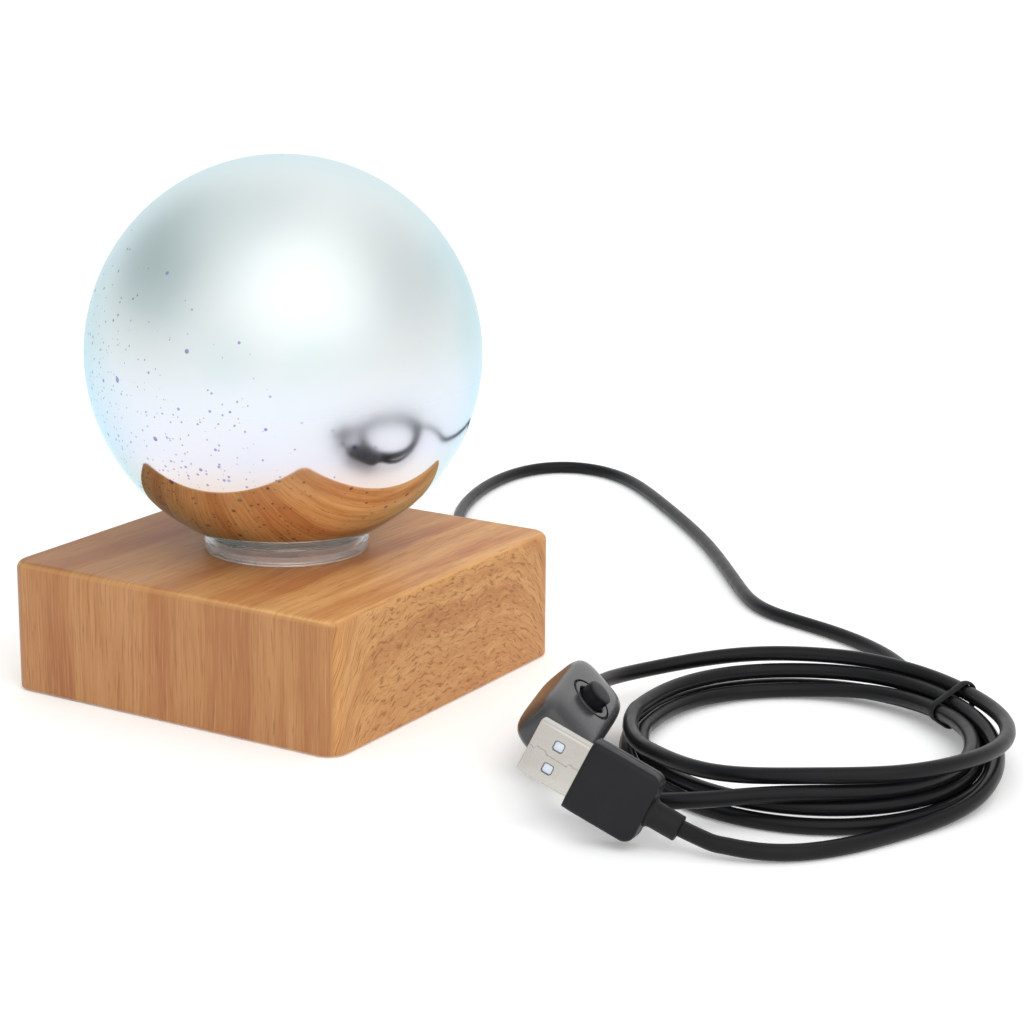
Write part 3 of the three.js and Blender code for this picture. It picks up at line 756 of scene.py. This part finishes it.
def liner():
    """The insulator's bosses that show white in the shell's windows."""
    made = bmesh.new()
    for y in (-WINDOW_Y, WINDOW_Y):
        loops = []
        for z, inset in ((-1.72, 0), (-1.95, 0.02), (-2.05, 0.15)):
            sides = outline(2.1 - 2 * inset, 1.9 - 2 * inset, 0.5, 5, 2)
            loops.append([(WINDOW_X + a, y + b, z) for a, b in sides])
        part = loft(loops, plug_frame)
        mesh = bpy.data.meshes.new("part")
        part.to_mesh(mesh)
        part.free()
        made.from_mesh(mesh)
        bpy.data.meshes.remove(mesh)
    return made


finish_mesh("plug_liner", liner(), WHITE, [])


def grip():
    """The moulded grip: rounded at the lead's end, nearly square at the shell's, with a parting line."""
    length, width, half = 16.6, 15.6, 4.0
    profile = [(-half, 1.15), (-half + 0.1, 0.75), (-half + 0.35, 0.36), (-half + 0.75, 0.1),
               (-half + 1.2, 0), (0.55, 0), (0.66, 0.16), (1.15, 0.2), (1.26, 0.06), (half - 1.3, 0.06),
               (half - 0.8, 0.16), (half - 0.38, 0.42), (half - 0.1, 0.8), (half, 1.2)]
    loops = []
    for z, inset in profile:
        loop = []
        corner = 2.6 - 0.6 * inset
        for x, y in outline(length - 1.2 * inset, width - 2 * inset, corner, 10, 6):
            # The corners at the shell's end are nearly square.
            if x > 0:
                fx, fy = (length - 1.2 * inset) / 2 - corner, (width - 2 * inset) / 2 - corner
                if x > fx and abs(y) > fy:
                    dx, dy = (x - fx) / corner, (abs(y) - fy) / corner
                    grow = 1 / max(dx, dy) ** 0.85
                    x, y = fx + corner * dx * grow, math.copysign(fy + corner * dy * grow, y)
            loop.append((x - length / 2 - 0.25 * inset, y, z))
        loops.append(loop)
    return loft(loops, plug_frame)


grip_piece = finish_mesh("plug_grip", grip(), BLACK, ["usb_grip"], smooth_angle=30)


def relief():
    profile = [(1.85, 16), (3.4, 16), (3.4, 16.9), (3.05, 17.3), (2.9, 17.8)]
    profile += [(2.85, 22.9)] + arc_points(2.45, 23.3, 0.4, 0, 85, 4) + [(1.85, 23.75)]
    return lathe(profile, plug_frame @ Matrix.Rotation(-math.pi / 2, 4, "Y"), 56)


relief_piece = finish_mesh("plug_relief", relief(), RUBBER, ["usb_strain_relief"])


# ---------------------------------------------------------------- tie
def tie():
    """A flat elastic loop drawn tight round every strand where it crosses the lead's turns."""
    angle_on_coil, half_width, thick, sides, turns = 25.5, 1.1, 0.8, 12, 96
    at = math.radians(angle_on_coil)
    centre = Vector(on_coil(angle_on_coil, 0, 0))
    turn = coil_turn + math.atan2(math.sin(at) / COIL_ALONG, math.cos(at) / COIL_ACROSS)
    place = Matrix.Translation(centre * MM) @ Matrix.Rotation(turn, 4, "Z")
    out = Vector((math.cos(turn), math.sin(turn), 0))
    along = Vector((-math.sin(turn), math.cos(turn), 0))
    strands = []
    for a, b in zip(lead_line, lead_line[1:]):
        a, b = Vector(a) - centre, Vector(b) - centre
        if a.dot(along) * b.dot(along) <= 0 and a.length < 20:
            cross = a.lerp(b, a.dot(along) / (a - b).dot(along))
            strands.append((cross.dot(out), cross.z))
    loops = []
    for k in range(sides):
        angle = 2 * math.pi * k / sides
        radius = CORD_RADIUS + 0.02 + thick / 2 + thick / 2 * math.cos(angle)
        side = half_width * math.sin(angle)
        loop = []
        for i in range(turns):
            c, n = math.cos(2 * math.pi * i / turns), math.sin(2 * math.pi * i / turns)
            x, z = max(strands, key=lambda strand: strand[0] * c + strand[1] * n)
            loop.append((x + radius * c, side, z + radius * n))
        loops.append(loop)
    return loft(loops, place, closed=True)


tie_piece = finish_mesh("tie", tie(), RUBBER, ["cord_tie"])

# ---------------------------------------------------------------- floor and light
far = 6
floor_mesh = bpy.data.meshes.new("floor")
floor_mesh.from_pydata([(-far, -far, 0), (far, -far, 0), (far, far, 0), (-far, far, 0)], [], [(0, 1, 2, 3)])
floor = bpy.data.objects.new("floor", floor_mesh)
scene.collection.objects.link(floor)
pale = Shader("floor", (0.93, 0.93, 0.93), 0.9, specular=0.0)
pale.base.inputs["Emission Color"].default_value = (1, 1, 1, 1)
pale.base.inputs["Emission Strength"].default_value = 0.16
floor_mesh.materials.append(pale.material)


def light(name, place, target, size, power, color):
    """A soft area light that no reflection shows."""
    data = bpy.data.lights.new(name, "AREA")
    data.shape, data.size, data.size_y, data.energy, data.color = "RECTANGLE", *size, power, color
    lamp = bpy.data.objects.new(name, data)
    lamp.location = place
    lamp.rotation_euler = (Vector(target) - Vector(place)).to_track_quat("-Z", "Y").to_euler()
    lamp.visible_glossy = False
    scene.collection.objects.link(lamp)


light("key", (0.88, -0.70, 1.20), (0.05, 0, 0.05), (1.2, 1.5), 6, (1, 0.99, 0.97))


def studio():
    """A white room: soft grey areas to the left, the right and overhead, and a brighter one by the key."""
    world = bpy.data.worlds.new("studio")
    world.use_nodes = True
    scene.world = world
    tree = world.node_tree
    background = tree.nodes["Background"]
    around = tree.nodes.new("ShaderNodeTexCoord").outputs["Generated"]
    # None of the areas reaches the horizon, so the background stays white in level views.
    upward = tree.nodes.new("ShaderNodeSeparateXYZ")
    tree.links.new(around, upward.inputs[0])
    raised = tree.nodes.new("ShaderNodeMapRange")
    raised.interpolation_type = "SMOOTHSTEP"
    raised.inputs[1].default_value, raised.inputs[2].default_value = 0.10, 0.36
    tree.links.new(upward.outputs[2], raised.inputs[0])
    color = None
    for way, start, end, tone in (((-0.80, -0.30, 0.52), 0.70, 0.96, (0.36, 0.45, 0.45)),
                                  ((0.66, 0.61, 0.44), 0.76, 0.96, (0.72, 0.735, 0.73)),
                                  ((-0.30, -0.05, 0.94), 0.82, 0.99, (0.74, 0.79, 0.79)),
                                  ((0.55, -0.44, 0.71), 0.70, 0.99, (1.42, 1.44, 1.40))):
        facing = tree.nodes.new("ShaderNodeVectorMath")
        facing.operation = "DOT_PRODUCT"
        facing.inputs[1].default_value = Vector(way).normalized()
        tree.links.new(around, facing.inputs[0])
        share = tree.nodes.new("ShaderNodeMapRange")
        share.interpolation_type = "SMOOTHSTEP"
        share.inputs[1].default_value, share.inputs[2].default_value = start, end
        tree.links.new(facing.outputs["Value"], share.inputs[0])
        both = tree.nodes.new("ShaderNodeMath")
        both.operation = "MULTIPLY"
        tree.links.new(share.outputs[0], both.inputs[0])
        tree.links.new(raised.outputs[0], both.inputs[1])
        blend = tree.nodes.new("ShaderNodeMix")
        blend.data_type = "RGBA"
        tree.links.new(both.outputs[0], blend.inputs[0])
        if color is None:
            blend.inputs[6].default_value = (1, 1, 1, 1)
        else:
            tree.links.new(color, blend.inputs[6])
        blend.inputs[7].default_value = (*tone, 1)
        color = blend.outputs[2]
    tree.links.new(color, background.inputs[0])
    background.inputs[1].default_value = 1.02


studio()
scene.view_settings.view_transform = "Standard"
